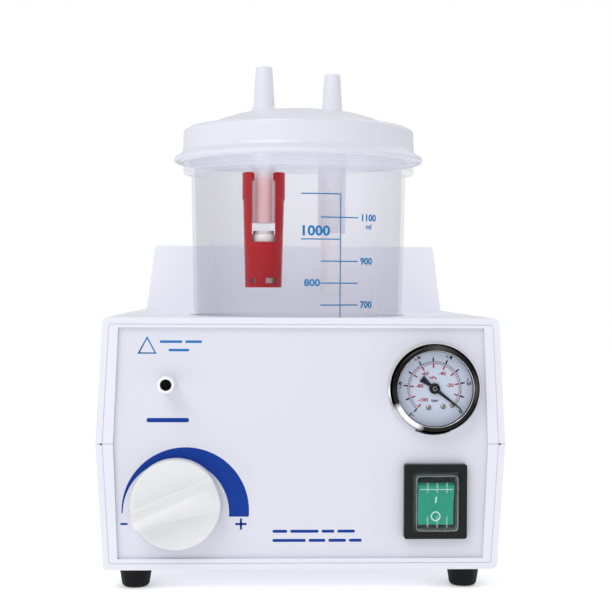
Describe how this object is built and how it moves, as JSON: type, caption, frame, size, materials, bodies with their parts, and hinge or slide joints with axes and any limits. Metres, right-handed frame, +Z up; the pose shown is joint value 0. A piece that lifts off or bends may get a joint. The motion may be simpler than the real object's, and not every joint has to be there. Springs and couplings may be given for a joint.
{
  "type": "suction pump",
  "caption": "Mains-powered portable suction pump: white case with jar well, clear collection jar and lid with float valve, vacuum gauge, regulator knob and covered rocker switch.",
  "frame": {"origin": "on the floor, below the centre of the outer box", "axes": "+Z up, the front with knob, gauge and switch faces -Y, +X to the right seen from the front"},
  "size_m": [0.21, 0.368, 0.2761],
  "materials": {
    "case_abs": "satin, fine moulded grain",
    "panel_abs": "smooth satin sheet",
    "steel_screw": "zinc plated",
    "foot_rubber": "matt black rubber",
    "knob_plastic": "matt white",
    "brass": "machined",
    "port_plastic": "smooth white",
    "gauge_black": "black enamel",
    "chrome": "polished",
    "gauge_glass": "clear",
    "dial_white": "printed satin",
    "switch_black": "semi gloss black",
    "rocker_green": "translucent green",
    "cover_clear": "clear flexible boot",
    "jar_clear": "clear moulded plastic",
    "lid_white": "white, slightly translucent",
    "tube_pale": "pale translucent",
    "gasket_rubber": "pale silicone",
    "cage_red": "translucent red",
    "laminations": "varnished laminations",
    "copper": "enamelled copper wire",
    "cast_alloy": "die cast",
    "bright_steel": "ground",
    "fan_plastic": "moulded nylon",
    "plate_steel": "zinc plated sheet",
    "capacitor_case": "moulded can",
    "hose_silicone": "translucent silicone",
    "wire_pvc": "PVC sleeve"
  },
  "bodies": {
    "case": {"upper_shell": "case_abs", "lower_shell": "case_abs", "front_panel": "panel_abs", "rear_panel": "panel_abs", "case_screws": "steel_screw", "feet": "foot_rubber", "foot_screws": "steel_screw", "valve_body": "brass", "valve_nut": "steel_screw", "suction_nipple": "port_plastic", "gauge_case": "gauge_black", "gauge_bezel": "chrome", "gauge_lens": "gauge_glass", "gauge_dial": "dial_white", "bourdon_tube": "brass", "gauge_stem": "brass", "switch_frame": "switch_black", "splash_cover": "cover_clear", "switch_terminals": "brass", "motor_stator": "laminations", "motor_coils": "copper", "front_bracket": "cast_alloy", "rear_bracket": "cast_alloy", "motor_bolts": "steel_screw", "shaft_bearings": "bright_steel", "diaphragm": "foot_rubber", "crankcase": "cast_alloy", "valve_plate": "cast_alloy", "pump_head": "cast_alloy", "head_screws": "steel_screw", "mount_plate": "plate_steel", "rubber_mounts": "foot_rubber", "silencer": "switch_black", "capacitor": "capacitor_case", "mains_inlet": "switch_black", "hoses": "hose_silicone", "wires": "wire_pvc"},
    "regulator": {"knob": "knob_plastic", "valve_spindle": "brass"},
    "needle": {"gauge_needle": "gauge_black"},
    "sector": {"sector_gear": "brass"},
    "rocker": {"switch_rocker": "rocker_green"},
    "jar_body": {"jar": "jar_clear"},
    "lid_body": {"lid": "lid_white", "lid_gasket": "gasket_rubber", "outlet_tube": "tube_pale", "inlet_tube": "tube_pale", "drip_tube": "jar_clear", "float_cage": "cage_red"},
    "float": {"float_body": "lid_white", "float_seal": "gasket_rubber"},
    "rotor": {"rotor_core": "bright_steel", "motor_shaft": "bright_steel", "cooling_fan": "fan_plastic", "eccentric": "bright_steel"},
    "rod": {"rod_bearing": "bright_steel", "connecting_rod": "cast_alloy", "clamp_disc": "cast_alloy"},
    "drawer": {"fuse_drawer": "switch_black", "fuses": "bright_steel"}
  },
  "joints": [
    {"name": "knob_turn", "type": "hinge", "parent": "case", "child": "regulator", "pos_m": [-0.0638, -0.166, 0.0451], "axis": [0, 1, 0], "range_deg": [0, 190]},
    {"name": "needle_swing", "type": "hinge", "parent": "case", "child": "needle", "pos_m": [0.0681, -0.166, 0.1037], "axis": [0, -1, 0], "range_deg": [0, 267], "stiffness_Nm_per_rad": 0.0006, "springref_deg": -28.65},
    {"name": "sector_swing", "type": "hinge", "parent": "case", "child": "sector", "pos_m": [0.0681, -0.166, 0.0937], "axis": [0, -1, 0], "range_deg": [-50, 0]},
    {"name": "rocker_tilt", "type": "hinge", "parent": "case", "child": "rocker", "pos_m": [0.0688, -0.162, 0.0458], "axis": [-1, 0, 0], "range_deg": [0, 20]},
    {"name": "jar_lift", "type": "slide", "parent": "case", "child": "jar_body", "axis": [0, 0, 1], "range_m": [0, 0.12]},
    {"name": "lid_lift", "type": "slide", "parent": "jar_body", "child": "lid_body", "axis": [0, 0, 1], "range_m": [0, 0.11]},
    {"name": "float_rise", "type": "slide", "parent": "lid_body", "child": "float", "axis": [0, 0, 1], "range_m": [0, 0.004]},
    {"name": "motor_spin", "type": "hinge", "parent": "case", "child": "rotor", "pos_m": [0, -0.166, 0.07], "axis": [0, 1, 0], "continuous": true, "deforming": ["diaphragm"]},
    {"name": "rod_orbit", "type": "hinge", "parent": "rotor", "child": "rod", "pos_m": [0, -0.166, 0.073], "axis": [0, 1, 0], "continuous": true},
    {"name": "fuse_drawer_slide", "type": "slide", "parent": "case", "child": "drawer", "axis": [0, 1, 0], "range_m": [0, 0.018]}
  ],
  "couplings": [
    {"joint": "sector_swing", "follows": "needle_swing", "ratio": -0.16667},
    {"joint": "rod_orbit", "follows": "motor_spin", "ratio": -1}
  ]
}
